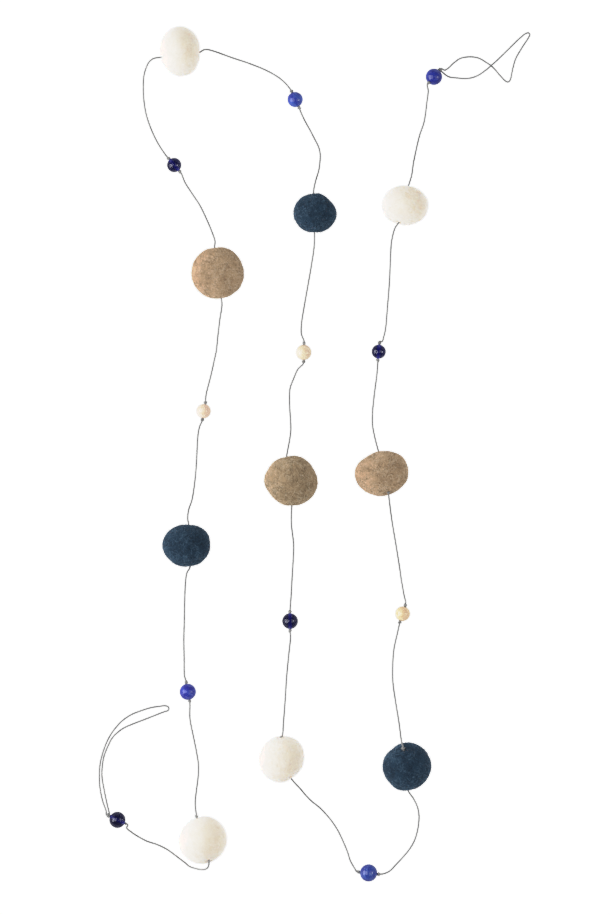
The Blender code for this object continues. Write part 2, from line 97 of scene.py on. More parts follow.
FRAY_ROOT = 0.5 * MM
FRAY_RADII = (0.05, 0.04, 0.012)  # at root, middle and tip, in millimetres
# The knots' tones are lighter than the cord's: painted light that makes up for the shade in their tight
# turns
KNOT_PAINTED_LIGHT_TONES = ((124, 124, 124), (158, 158, 157), (196, 196, 194))
SMALL_KNOTS = {  # size beside the others, by bead and by side
    ("bead_01_cobalt", 1): 0.72,
    ("bead_02_blue", -1): 0.88,
    ("bead_11_blue", -1): 0.85,
}

# Beads in order along the cord, in millimetres and degrees
Bead = namedtuple("Bead", "name colour diameter x y azimuth elevation")
BEADS = [Bead(*row) for row in (
    ("bead_01_cobalt", "cobalt", 10.3, -103.0, -238.0, -25.5, 0),
    ("bead_02_blue", "blue", 10.3, -57.2, -154.7, 100, 0),
    ("bead_03_cream", "cream", 9.2, -46.9, 27.9, 80, 0),
    ("bead_04_cobalt", "cobalt", 9.1, -66.1, 188.0, 131, 0),
    ("bead_05_blue", "blue", 9.7, 12.6, 230.6, -65, 0),
    ("bead_06_cream", "cream", 9.8, 18.2, 66.1, -92, 0),
    ("bead_07_cobalt", "cobalt", 10.0, 9.3, -108.7, -90, 0),
    ("bead_08_blue", "blue", 11.0, 60.4, -272.5, -6, 0),
    ("bead_09_cream", "cream", 9.4, 82.5, -103.9, 73, 0),
    ("bead_10_cobalt", "cobalt", 9.0, 67.0, 66.6, 85, 0),
    ("bead_11_blue", "blue", 10.4, 102.9, 245.4, 49, -27),
)]

# Balls in order along the cord, in millimetres
Ball = namedtuple("Ball", "name colour x y half_x half_y half_z")
BALLS = [Ball(*row) for row in (
    ("ball_01_white", "white", -47.4, -250.8, 15.5, 15.3, 15.0),
    ("ball_02_navy", "navy", -58.1, -59.5, 15.5, 13.9, 14.2),
    ("ball_03_tan", "tan", -37.8, 117.5, 16.9, 16.8, 16.2),
    ("ball_04_white", "white", -62.1, 261.5, 13.0, 16.1, 14.0),
    ("ball_05_navy", "navy", 25.5, 156.5, 14.0, 12.9, 13.2),
    ("ball_06_tan", "tan", 9.8, -17.7, 17.6, 16.2, 15.8),
    ("ball_07_white", "white", 3.7, -198.1, 14.5, 15.1, 14.4),
    ("ball_08_navy", "navy", 85.1, -202.8, 15.9, 15.6, 15.4),
    ("ball_09_tan", "tan", 68.7, -12.6, 17.4, 14.7, 14.8),
    ("ball_10_white", "white", 84.1, 161.6, 14.8, 12.9, 13.4),
)]

LUMPS = [
    # ball, azimuth, elevation, height mm, spread in degrees
    ("ball_01_white", 50, 10, 0.5, 40),
    ("ball_01_white", 140, 0, -0.8, 32),
    ("ball_01_white", -45, 0, -0.5, 28),
    ("ball_02_navy", 222, 0, -0.5, 30),
    ("ball_02_navy", 40, 5, 0.9, 26),
    ("ball_03_tan", 60, 10, 0.4, 24),
    ("ball_03_tan", -20, 0, 0.5, 24),
    ("ball_04_white", 225, 0, -0.8, 30),
    ("ball_04_white", -50, 10, 0.6, 24),
    ("ball_05_navy", 42, 0, -1.0, 26),
    ("ball_05_navy", 0, 0, 0.2, 20),
    ("ball_05_navy", 80, 0, 0.4, 18),
    ("ball_06_tan", 218, 0, -1.5, 30),
    ("ball_06_tan", 75, 10, 0.7, 26),
    ("ball_06_tan", 25, 0, -0.5, 20),
    ("ball_06_tan", 152, 0, -0.6, 20),
    ("ball_07_white", 135, 0, -0.9, 32),
    ("ball_07_white", -48, 0, -0.9, 28),
    ("ball_07_white", 38, 5, 1.0, 26),
    ("ball_08_navy", 132, 0, -1.0, 26),
    ("ball_08_navy", 215, 0, -0.4, 18),
    ("ball_08_navy", 250, 0, 0.4, 18),
    ("ball_08_navy", -42, 0, -0.4, 24),
    ("ball_09_tan", 128, 0, -1.4, 26),
    ("ball_09_tan", 45, 5, 1.1, 26),
    ("ball_09_tan", -48, 0, -0.7, 24),
    ("ball_10_white", 50, 0, -0.4, 24),
    ("ball_10_white", -30, 20, 0.4, 30),
]

# The cord's route through each ball, in millimetres, and the runs in metres, as in the part
STRETCHES = [
    {
        "to_ball": [(-97.0, -243.2), (-94.0, -246.0), (-90.8, -248.3), (-84.1, -252.0), (-77.5, -254.2),
                    (-70.9, -257.4), (-63.5, -262.8), (-59.5, -265.8), (-56.0, -268.6), (-50.5, -270.1),
                    (-46.0, -269.8), (-43.9, -268.0)],
        "hole_in": (-43.3, -264.1, 20.0), "run_in": 15 * MM,
        "hole_out": (-51.2, -235.8, 14.6), "run_out": BALL_RUN, "knots": ("out",),
        "to_bead": [(-52.1, -230.0), (-52.3, -226.0), (-51.6, -218.9), (-50.5, -209.8), (-50.3, -203.1),
                    (-51.8, -193.1), (-53.8, -183.3), (-55.9, -172.2)],
    },
    {
        "to_ball": [(-59.4, -144.3), (-59.7, -133.2), (-59.9, -120.9), (-59.6, -108.5), (-59.3, -96.2),
                    (-58.7, -83.9), (-57.7, -77.2)],
        "hole_in": (-55.7, -73.6, 13.4), "run_in": BALL_RUN,
        "hole_out": (-56.6, -45.2, 13.6), "run_out": BALL_RUN, "knots": (),
        "to_bead": [(-57.2, -42.2), (-56.6, -36.4), (-54.5, -29.9), (-52.6, -17.0), (-51.6, -3.9),
                    (-51.3, 2.0), (-51.0, 8.5), (-50.4, 14.3), (-49.4, 18.4)],
    },
    {
        "to_ball": [(-45.4, 38.4), (-44.2, 43.6), (-42.2, 51.4), (-40.5, 59.1), (-38.7, 67.6),
                    (-38.0, 74.1), (-36.4, 87.1), (-34.9, 97.0)],
        "hole_in": (-35.3, 100.8, 15.6), "run_in": BALL_RUN,
        "hole_out": (-39.7, 134.2, 15.6), "run_out": BALL_RUN, "knots": (),
        "to_bead": [(-39.4, 138.1), (-41.2, 143.7), (-44.8, 152.3), (-49.4, 161.8), (-54.6, 169.7),
                    (-59.3, 177.1)],
    },
    {
        "to_ball": [(-74.1, 198.0), (-77.4, 203.5), (-80.8, 210.6), (-84.1, 220.0), (-85.7, 228.5),
                    (-86.3, 238.1), (-85.8, 245.7), (-84.3, 250.9), (-82.2, 254.8), (-79.3, 256.9)],
        "hole_in": (-74.7, 257.6, 13.4), "run_in": BALL_RUN,
        "hole_out": (-49.1, 261.0, 13.4), "run_out": BALL_RUN, "knots": (),
        "to_bead": [(-46.9, 262.4), (-44.5, 262.7), (-40.2, 261.7), (-28.8, 257.9), (-17.4, 254.3),
                    (-5.9, 249.6), (1.7, 245.2), (6.5, 241.0)],
    },
    {
        "to_ball": [(16.8, 221.2), (19.1, 216.5), (22.1, 211.2), (25.1, 205.4), (27.8, 200.0),
                    (28.9, 195.3), (28.8, 190.7), (28.0, 184.6), (26.1, 178.1), (24.9, 172.9)],
        "hole_in": (24.5, 169.1, 12.6), "run_in": BALL_RUN,
        "hole_out": (25.2, 143.7, 12.6), "run_out": BALL_RUN, "knots": (),
        "to_bead": [(24.9, 134.6), (23.0, 121.8), (20.8, 109.2), (18.5, 96.2), (16.7, 84.5), (16.7, 78.0)],
    },
    {
        "to_ball": [(14.4, 55.2), (11.2, 48.1), (9.3, 42.9), (8.9, 36.4), (9.1, 29.3), (9.5, 23.4),
                    (9.8, 15.6), (9.0, 9.1), (7.9, 3.2)],
        "hole_in": (7.1, -1.7, 15.4), "run_in": BALL_RUN,
        "hole_out": (10.4, -33.7, 15.0), "run_out": BALL_RUN, "knots": (),
        "to_bead": [(10.1, -39.7), (10.2, -46.2), (11.6, -59.2), (11.3, -68.9), (10.6, -80.6),
                    (9.9, -93.6)],
    },
    {
        "to_ball": [(9.6, -118.6), (8.4, -130.7), (7.1, -144.3), (5.9, -163.2), (4.9, -176.2),
                    (4.5, -182.0)],
        "hole_in": (3.6, -184.9, 16.0), "run_in": BALL_RUN, "knots": ("in",),
        "hole_out": (10.1, -210.7, 13.4), "run_out": BALL_RUN,
        "to_bead": [(15.6, -217.1), (22.3, -224.9), (28.8, -230.4), (35.3, -237.6), (39.8, -244.1),
                    (43.1, -250.6), (46.8, -259.4), (48.6, -264.9), (51.6, -270.0)],
    },
    {
        "to_ball": [(70.4, -273.0), (74.1, -271.4), (78.4, -267.2), (82.1, -263.2), (86.0, -258.7),
                    (89.7, -252.9), (91.8, -247.0), (93.0, -240.5), (93.2, -235.0), (92.1, -229.5),
                    (89.5, -224.2), (86.3, -219.3)],
        "hole_in": (85.9, -214.3, 5.0), "run_in": 11 * MM,
        "hole_out": (82.8, -191.1, 25.0), "run_out": 42 * MM, "knots": ("out",),
        "to_bead": [(81.5, -185.9), (80.0, -174.2), (77.8, -160.2), (76.2, -148.2), (76.1, -137.6),
                    (76.9, -127.1), (79.1, -116.7)],
    },
    {
        "to_ball": [(83.4, -91.5), (81.7, -81.9), (80.8, -75.4), (78.2, -59.1), (75.4, -42.9),
                    (73.6, -29.7)],
        "hole_in": (72.9, -24.1, 20.0), "run_in": 40 * MM, "knots": ("in",),
        "hole_out": (66.9, 1.1, 10.5), "run_out": 30 * MM,
        "to_bead": [(64.7, 9.5), (63.0, 18.5), (63.0, 27.3), (64.1, 38.5), (65.8, 52.0)],
    },
    {
        "to_ball": [(69.1, 73.1), (70.3, 76.5), (71.4, 81.2), (72.6, 94.6), (74.0, 112.5), (74.8, 132.6),
                    (75.3, 138.5), (77.5, 146.9)],
        "hole_in": (79.9, 150.3, 16.0), "run_in": BALL_RUN,
        "hole_out": (86.1, 173.9, 12.0), "run_out": BALL_RUN, "knots": (),
        "to_bead": [(88.3, 181.0), (89.4, 188.5), (91.4, 198.2), (93.7, 207.7), (96.3, 215.3),
                    (97.4, 221.0), (98.2, 228.0), (99.1, 236.2)],
    },
]

LOOP_A = [
    (-110.3, -232.5), (-112.6, -226.2), (-114.4, -218.1), (-114.9, -211.2), (-114.6, -203.2),
    (-113.2, -196.3), (-110.1, -187.6), (-107.3, -182.4), (-104.6, -178.6), (-99.9, -173.6),
    (-94.1, -169.7), (-87.6, -167.1), (-81.1, -165.1), (-75.9, -164.3), (-72.4, -163.9),
    (-70.4, -164.4), (-69.6, -165.7), (-70.4, -167.1), (-72.6, -167.8), (-77.5, -169.7),
    (-85.6, -172.9), (-92.4, -175.5), (-99.0, -178.4), (-103.4, -181.6), (-106.6, -185.0),
    (-108.7, -188.9), (-111.8, -196.5), (-113.0, -203.3), (-113.2, -210.0), (-111.9, -218.1),
    (-110.3, -225.6), (-109.1, -230.5),
]
LOOP_A_END = (-108.3, -233.6)
LOOP_B = [
    (110.0, 249.9), (112.6, 251.5), (115.2, 254.0), (120.0, 257.5), (126.1, 258.6), (131.9, 257.8),
    (137.1, 254.9), (141.0, 252.1), (145.7, 246.8), (149.3, 243.0), (151.2, 242.2), (152.6, 243.6),
    (154.2, 250.6), (156.2, 257.4), (160.5, 264.9), (164.6, 271.2), (165.4, 273.2), (164.4, 274.2),
    (162.6, 273.7), (159.6, 271.4), (155.3, 267.3), (147.6, 259.7), (140.4, 253.0), (135.2, 248.8),
    (130.4, 245.9), (124.7, 244.5), (118.1, 244.8), (112.4, 245.7),
]
LOOP_B_END = (108.7, 248.3)
LOOP_B_CROSSING = (140.4, 253.0)
CROSSING_LIFT = 1.45 * MM
CROSSING_REACH = 14.0 * MM

# Studio
SKY = (0.5, 0.16)  # brightness at the horizon and overhead
SKY_TOP = 0.7  # sine of the elevation from which it is as overhead
LIGHTS = [
    # name, azimuth, elevation, distance m, size m, radiance
    ("left", 182, 25, 2.2, (1.9, 1.2), 4.6),
    ("left_fill", 182, 56, 2.2, (1.8, 1.6), 2.6),
    ("right", -4, 35, 2.2, (0.75, 0.6), 6.2),
    ("right_fill", 0, 58, 2.2, (1.8, 1.6), 0.8),
]
TABLE_HALF = 6.0
TABLE_DROP = 0.1 * MM
TABLE_GLOW = 1.27
TABLE_WHITENESS = 0.04
RESPONSE = [  # of the camera: brightness in the scene and as shown, eased off towards white
    (0.0, 0.0), (0.25, 0.25), (0.47, 0.48), (0.65, 0.71), (0.80, 0.815), (0.92, 0.865), (1.05, 0.90),
    (1.17, 0.93), (1.27, 1.0),
]

# Felt: tones in sRGB (dark, middle, light, hairs), weights of subsurface and sheen, and the heights of
# the surface's swells and pits in millimetres
Felt = namedtuple("Felt", "tones subsurface sheen swell pit")
FELT = {
    "white": Felt(
        ((229, 217, 202), (239, 230, 216), (243, 235, 223), (247, 241, 232)), 1.0, 0.1, 0.16, 0.02,
    ),
    "navy": Felt(((13, 22, 35), (34, 56, 75), (70, 98, 122), (94, 122, 146)), 0.04, 0.5, 0.20, 0.16),
    "tan": Felt(((112, 88, 66), (189, 161, 129), (212, 188, 156), (234, 215, 188)), 0.05, 0.0, 0.18, 0.07),
}
TONES = {  # balls whose wool isn't of the usual tone
    "ball_06_tan": ((98, 83, 62), (173, 149, 118), (203, 181, 150), (226, 210, 183)),
}
SWELL_SCALE = 0.22 / MM
PIT_SCALE = 0.42 / MM
PIT_WIDTH = 0.34  # as a share of the pits' spacing
PUCKER = (1.3 * MM, 1.15 * MM)  # depth and width of the dent at a hole
FUNNEL = (0.45 * MM, 3.2 * MM)
BALL_FINENESS = 6

# Fibres that stand out of the felt, and longer ones that lie on it
FUZZ_COUNT = 2700
FUZZ_RADIUS = 0.024 * MM
FUZZ_LENGTH = (0.7, 2.1)  # in millimetres
FUZZ_ROOT = 0.08 * MM
FUZZ_LEAN = (12, 62)  # degrees off the surface, at the root and then at the tip
FUZZ_CURL = (-30, 25)
FUZZ_SWAY = 0.6
THREAD_COUNT = {"white": 60, "navy": 150, "tan": 170}
THREAD_RADIUS = 0.045 * MM
THREAD_LENGTH = (0.2, 0.62)  # in radians round the ball
THREAD_CURVE = 2.6  # spread of the turn to the side, in radians for each radian round the ball
THREAD_LIFT = (0.02, 0.10)  # off the surface, in millimetres: at the ends, and more in the middle
THREAD_POINTS = 9
STRAND_SIDES = 3
TABLE_CLEARANCE = 0.05 * MM

# Pattern of the felt: scales for each metre, and turns in degrees
SWIRL = (170, 0.005)  # scale, and reach in metres
PATCH_SCALE = 95
BLOTCH_SCALE = 300
FIBRE_SCALE = 1500
FIBRE_STRETCH = (1, 1, 0.13)
FIBRE_TURNS = ((35, 20, 0), (-50, 60, 10), (80, -25, 40))
WRINKLE_SCALE = 380
WRINKLE_STRETCH = (1, 1, 0.3)
CREASE_TURNS = ((60, 15, 0), (-20, 75, 30))
HAIR_TURNS = ((10, -40, 80), (95, 50, -35))
GRAIN_SCALE = 5200
CRUMPLE_SCALE = 430

# Glass: the beads' shape, and their tones in sRGB
BEAD_SEGMENTS = 48
BEAD_ARCS = 32
BEAD_FULLNESS = 1.03  # of the glass over the ball that it is drilled from
BORE_RADIUS = 0.78 * MM
BORE_RINGS = 6
LIP = 0.3 * MM
LIP_ANGLES = (30, 60, 90)
UNEVEN_SCALE = 0.16 / MM
UNEVENNESS = {"cobalt": 0.006, "blue": 0.012, "cream": 0.02}
CREAM_GLASS = {  # two tones of the mottle, and the specks'
    "bead_03_cream": ((240, 218, 198), (231, 204, 178), (248, 236, 223)),
    "bead_06_cream": ((238, 220, 194), (229, 206, 176), (247, 236, 220)),
    "bead_09_cream": ((236, 212, 175), (225, 198, 158), (246, 230, 203)),
}
BLUE_GLASS = {  # two tones of the body, the pale and the dark streaks', and the turn of the streaks
    "bead_02_blue": (((42, 44, 150), (56, 70, 174), (118, 130, 212), (34, 32, 124)), (20, 70, 0)),
    "bead_05_blue": (((44, 56, 156), (62, 88, 180), (130, 152, 220), (30, 36, 120)), (60, 20, 35)),
    "bead_08_blue": (((38, 38, 132), (52, 74, 162), (116, 142, 200), (28, 26, 98)), (90, 5, 0)),
    "bead_11_blue": (((28, 30, 124), (38, 50, 150), (112, 126, 208), (24, 22, 98)), (10, 80, 50)),
}


def linear(rgb):
    """Linear RGBA from an sRGB colour in 0 to 255."""
    shares = [value / 255 for value in rgb]
    return [c / 12.92 if c <= 0.04045 else ((c + 0.055) / 1.055) ** 2.4 for c in shares] + [1.0]


def direction(azimuth, elevation):
    a, e = math.radians(azimuth), math.radians(elevation)
    return np.array([math.cos(e) * math.cos(a), math.cos(e) * math.sin(a), math.sin(e)])


def unit(v):
    return v / np.maximum(np.linalg.norm(v, axis=-1, keepdims=True), 1e-12)


# Cord's route --------------------------------------------------------------------------------


def path_length(path):
    return np.concatenate([[0.0], np.cumsum(np.linalg.norm(np.diff(path, axis=0), axis=1))])


def smooth_route(points):
    """Centripetal Catmull-Rom curve through the points."""
    p = np.array(points, float)
    p = np.vstack([2 * p[0] - p[1], p, 2 * p[-1] - p[-2]])
    t = np.concatenate([[0.0], np.cumsum(np.sqrt(np.linalg.norm(np.diff(p, axis=0), axis=1)))])
    u = np.linspace(0, 1, SAMPLES_PER_SPAN, endpoint=False)[:, None]
    spans = []
    for i in range(1, len(p) - 2):
        slopes = [
            (p[j] - p[j - 1]) / (t[j] - t[j - 1])
            - (p[j + 1] - p[j - 1]) / (t[j + 1] - t[j - 1])
            + (p[j + 1] - p[j]) / (t[j + 1] - t[j])
            for j in (i, i + 1)
        ]
        spans.append(
            (2 * u**3 - 3 * u**2 + 1) * p[i]
            + (u**3 - 2 * u**2 + u) * slopes[0] * (t[i + 1] - t[i])
            + (3 * u**2 - 2 * u**3) * p[i + 1]
            + (u**3 - u**2) * slopes[1] * (t[i + 1] - t[i])
        )
    return np.vstack(spans + [p[-2:-1]])


def eased(distance, run):
    share = np.clip(distance / run, 0, 1)
    return 1 - share * share * (3 - 2 * share)


def lay_cord(plan, held, lifts=()):
    """A cord's centre line in the round, as the part lays it."""
    curve = smooth_route(plan)
    along = path_length(curve)
    marks = along[::SAMPLES_PER_SPAN]
    s = np.linspace(0, along[-1], int(along[-1] / ROUTE_SPACING))
    height = np.full_like(s, CORD_REST_HEIGHT)
    for first, last, z_first, z_last, run_before, run_after in held:
        before, after = marks[first] - s, s - marks[last]
        height += (z_first - CORD_REST_HEIGHT) * np.where(before > 0, eased(before, run_before), 0)
        height += (z_last - CORD_REST_HEIGHT) * np.where(after > 0, eased(after, run_after), 0)
    for first, last, z_first, z_last, _, _ in held:
        inside = (s >= marks[first]) & (s <= marks[last])
        height[inside] = np.interp(s[inside], [marks[first], marks[last]], [z_first, z_last])
    for point, lift, reach in lifts:
        height += lift * (1 + np.cos(np.pi * np.clip(np.abs(s - marks[point]) / reach, 0, 1))) / 2
    width = int(HEIGHT_SMOOTHING / ROUTE_SPACING) // 2
    padded = np.pad(height, width, mode="edge")
    height = np.convolve(padded, np.full(2 * width + 1, 1 / (2 * width + 1)), mode="valid")
    return np.column_stack([np.interp(s, along, curve[:, 0]), np.interp(s, along, curve[:, 1]), height])


def bead_frame(bead):
    """A bead's centre, the direction of its bore, and its radius."""
    radius = bead.diameter / 2 * MM
    centre = np.array([bead.x * MM, bead.y * MM, BEAD_SEAT * radius])
    return centre, direction(bead.azimuth, bead.elevation), radius


def bead_lead(bead, side, knot_half):
    """The cord's points in a bead's half, at its face and past its knot."""
    centre, bore, radius = bead_frame(bead)
    reaches = (END_GAP / 2, radius, radius + KNOT_TO_BEAD + 2 * knot_half)
    return [centre + side * bore * reach for reach in reaches]


def stretch_line(stretch, bead_before, bead_after):
    lead = bead_lead(bead_before, 1, KNOT_HALF_LENGTH)
    tail = bead_lead(bead_after, -1, KNOT_HALF_LENGTH)
    hole_in, hole_out = (np.array(stretch[key]) * MM for key in ("hole_in", "hole_out"))
    inward = unit(hole_out - hole_in) * BORE_LEAD
    plan = [point[:2] for point in lead]
    plan += [np.array(point) * MM for point in stretch["to_ball"]]
    first = len(plan)
    plan += [point[:2] for point in (hole_in, hole_in + inward, hole_out - inward, hole_out)]
    last = len(plan) - 1
    plan += [np.array(point) * MM for point in stretch["to_bead"]]
    plan += [point[:2] for point in reversed(tail)]
    return lay_cord(plan, [
        (0, 2, lead[0][2], lead[2][2], BEAD_RUN, BEAD_RUN),
        (first, last, hole_in[2], hole_out[2], stretch["run_in"], stretch["run_out"]),
        (len(plan) - 3, len(plan) - 1, tail[2][2], tail[0][2], BEAD_RUN, BEAD_RUN),
    ])


def loop_line(bead, side, route, end, lifts=()):
    lead = bead_lead(bead, side, LOOP_KNOT_HALF_LENGTH)
    plan = [point[:2] for point in lead] + [np.array(point) * MM for point in [*route, end]]
    return lay_cord(plan, [
        (0, 2, lead[0][2], lead[2][2], BEAD_RUN, BEAD_RUN),
        (len(plan) - 1, len(plan) - 1, lead[2][2], lead[2][2], BEAD_RUN, BEAD_RUN),
    ], [(point + len(lead), lift, reach) for point, lift, reach in lifts])


def loop_knot(bead, side):
    centre, bore, radius = bead_frame(bead)
    return centre + side * bore * (radius + KNOT_TO_BEAD + LOOP_KNOT_HALF_LENGTH)


def whole_cord():
    """The centre line of the whole cord, from the first loop's knot to the second loop's."""
    lines = [loop_line(BEADS[0], -1, LOOP_A, LOOP_A_END)[::-1]]
    lines += [stretch_line(s, BEADS[i], BEADS[i + 1]) for i, s in enumerate(STRETCHES)]
    lifts = [(LOOP_B.index(LOOP_B_CROSSING), CROSSING_LIFT, CROSSING_REACH)]
    lines += [loop_line(BEADS[-1], 1, LOOP_B, LOOP_B_END, lifts)]
    line = np.vstack([loop_knot(BEADS[0], -1), *lines, loop_knot(BEADS[-1], 1)])
    along = path_length(line)
    at = np.linspace(0, along[-1], int(along[-1] / RING_STEP))
    return np.column_stack([np.interp(at, along, line[:, k]) for k in range(3)])


# Meshes --------------------------------------------------------------------------------------


def add_piece(name, points, faces, materials, centre=(0, 0, 0), kinds=None):
    """A smooth mesh object at centre. Its points are given in the row frame."""
    local = np.asarray(points) - np.asarray(centre)
    mesh = bpy.data.meshes.new(name)
    mesh.from_pydata(local.tolist(), [], faces)
    mesh.update()
    mesh.shade_smooth()
    for material in materials:
        mesh.materials.append(material)
    if kinds is not None:
        mesh.polygons.foreach_set("material_index", kinds)
    piece = bpy.data.objects.new(name, mesh)
    piece.location = Vector(centre)
    bpy.context.scene.collection.objects.link(piece)
    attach(piece, "root")
    return piece


def frames_along(path):
    """Two unit vectors square to a path at each of its points, carried along without twist."""
    tangent = unit(np.gradient(path, axis=0))
    start = np.array([0, 0, 1.0]) if abs(tangent[0][2]) < 0.9 else np.array([1.0, 0, 0])
    u = np.empty_like(path)
    u[0] = unit(np.cross(tangent[0], np.cross(start, tangent[0])))
    for i in range(1, len(path)):
        carried = u[i - 1] - tangent[i] * (u[i - 1] @ tangent[i])
        u[i] = carried / np.linalg.norm(carried)
    return u, np.cross(tangent, u)


def sweep(path, radii, turned):
    """Points and faces of a closed tube.

    The radii have a value for each ring and side, and turned has one angle for each ring.
    """
    sides = radii.shape[1]
    u, v = frames_along(path)
    angle = turned[:, None] + np.arange(sides)[None, :] * 2 * np.pi / sides
    around = np.cos(angle)[:, :, None] * u[:, None, :] + np.sin(angle)[:, :, None] * v[:, None, :]
    points = (path[:, None, :] + radii[:, :, None] * around).reshape(-1, 3)
    faces = []
    for i in range(len(path) - 1):
        a, b = i * sides, (i + 1) * sides
        faces += [(a + j, a + (j + 1) % sides, b + (j + 1) % sides, b + j) for j in range(sides)]
    last = (len(path) - 1) * sides
    faces += [tuple(range(sides))[::-1], tuple(range(last, last + sides))]
    return points, faces


def plied(path, radius, phase=0.0):
    """A tube of twisted plies along a path."""
    angle = PLIES * np.arange(CORD_SIDES) * 2 * np.pi / CORD_SIDES
    section = radius * (PLY_FULLNESS + PLY_DEPTH * np.cos(angle))
    radii = np.tile(section, (len(path), 1))
    return sweep(path, radii, phase + 2 * np.pi * path_length(path) / PLY_PITCH)


def strands(paths, radii, across):
    """Points and faces of many thin closed tubes.

    The paths are (strands, points, 3) and the radii (strands, points). No path may run along its across.
    """
    count, rings, _ = paths.shape
    sides = STRAND_SIDES
    tangent = unit(np.gradient(paths, axis=1))
    v = unit(np.cross(tangent, across[:, None, :]))
    u = np.cross(v, tangent)
    angle = np.arange(sides) * 2 * np.pi / sides
    cos, sin = (part[None, None, :, None] for part in (np.cos(angle), np.sin(angle)))
    around = cos * u[:, :, None, :] + sin * v[:, :, None, :]
    points = (paths[:, :, None, :] + radii[:, :, None, None] * around).reshape(-1, 3)
    base = (np.arange(count) * rings * sides)[:, None]
    quads = []
    for ring in range(rings - 1):
        here, there = ring * sides, (ring + 1) * sides
        for j in range(sides):
            k = (j + 1) % sides
            quads.append(base + np.array([here + j, here + k, there + k, there + j]))
    caps = [base + np.arange(sides)[::-1], base + (rings - 1) * sides + np.arange(sides)]
    faces = [tuple(f) for block in quads + caps for f in block.tolist()]
    return points, faces


def joined(parts):
    """Points and faces of several meshes as one."""
    points, faces, start = [], [], 0
    for p, f in parts:
        points.append(p)
        faces += [tuple(i + start for i in face) for face in f]
        start += len(p)
    return np.vstack(points), faces


def knot(centre, axis, winding, length, phase, size=1.0):
    """A tight knot: the cord wound round itself, with one strand lying over the turns."""
    turns, wrap, radius = winding.turns, winding.reach * size, winding.strand * size
    axis = unit(axis)
    side = unit(np.cross(axis, [0, 0, 1.0] if abs(axis[2]) < 0.9 else [1.0, 0, 0]))
    up = np.cross(side, axis)

    def around(share, angle, reach):
        return (
            centre
            + (share[:, None] - 0.5) * length * axis
            + reach[:, None] * (np.cos(angle)[:, None] * side + np.sin(angle)[:, None] * up)
        )

    share = np.linspace(0, 1, KNOT_RINGS)
    rise = np.sqrt(np.clip(np.minimum(share, 1 - share) / KNOT_RISE, 0, 1))
    coil = around(share, phase + 2 * np.pi * turns * share, wrap * rise)
    over = np.linspace(-0.05, 1.05, OVER_RINGS)
    hump = np.sin(np.pi * np.clip(over, 0, 1)) ** 0.6
    angle = phase + OVER_START + OVER_TURN * over
    strand = around(over, angle, (wrap + OVER_RISE * radius) * hump + 0.02 * MM)
    return joined([plied(coil, radius, phase), plied(strand, radius * OVER_THICKNESS, phase)])


def frays(centre, axis, count, reach, rng):
    """Loose ends of the cord's fibres that stand out of a knot."""
    out = unit(rng.normal(size=(count, 3)) + np.asarray(axis) * 0.3)
    out[:, 2] = np.abs(out[:, 2]) * 0.8
    bend = unit(rng.normal(size=(count, 3)))
    long = reach * rng.uniform(0.5, 1.0, count)[:, None]
    start = np.asarray(centre) + out * FRAY_ROOT
    paths = np.stack([start, start + out * long * 0.5, start + unit(out + bend * 0.7) * long], axis=1)
    radii = np.tile(np.array(FRAY_RADII) * MM, (count, 1))
    return strands(paths, radii, unit(np.cross(out, bend)))


# Balls ---------------------------------------------------------------------------------------

HOLES = {
    ball.name: [np.array(stretch[key]) * MM for key in ("hole_in", "hole_out")]
    for ball, stretch in zip(BALLS, STRETCHES)
}


def ball_centre(ball):
    return np.array([ball.x * MM, ball.y * MM, ball.half_z * MM - BALL_SEAT_DEPTH])


def ball_surface(ball, dirs):
    """The points of a ball's uneven surface in the given directions, round its centre."""
    half = np.array([ball.half_x, ball.half_y, ball.half_z]) * MM
    felt = FELT[ball.colour]
    points = dirs * half
    for owner, azimuth, elevation, height, spread in LUMPS:
        if owner == ball.name:
            angle = np.arccos(np.clip(dirs @ direction(azimuth, elevation), -1, 1))
            points += dirs * (height * MM * np.exp(-((angle / math.radians(spread)) ** 2)))[:, None]
    shift = Vector((len(ball.name), BALLS.index(ball) * 7.3, 2.1))  # each ball's own part of the noise
    heights = np.empty(len(points))
    for i, p in enumerate(points):
        place = Vector(p)
        swollen = noise.fractal(place * SWELL_SCALE + shift, 0.9, 2.1, 4)
        near = noise.voronoi(place * PIT_SCALE + shift)[0][0]
        heights[i] = felt.swell * swollen - felt.pit * math.exp(-((near / PIT_WIDTH) ** 2))
    points += dirs * (heights * MM)[:, None]
    centre = ball_centre(ball)
    for hole in HOLES[ball.name]:
        far = np.linalg.norm(points + centre - hole, axis=1)
        dent = PUCKER[0] * np.exp(-((far / PUCKER[1]) ** 2)) + FUNNEL[0] * np.exp(-((far / FUNNEL[1]) ** 2))
        points -= unit(points) * dent[:, None]
    points[:, 2] = np.maximum(points[:, 2], BALL_SEAT_DEPTH - half[2])
    return points


def sphere_directions():
    shape = bmesh.new()
    bmesh.ops.create_icosphere(shape, subdivisions=BALL_FINENESS, radius=1.0)
    dirs = np.array([v.co.normalized() for v in shape.verts])
    faces = [tuple(v.index for v in f.verts) for f in shape.faces]
    shape.free()
    return dirs, faces


def above_table(points, centre):
    """Points round a centre, with those that would go into the table lifted onto it."""
    points[:, 2] = np.maximum(points[:, 2] + centre[2], TABLE_CLEARANCE) - centre[2]
    return points


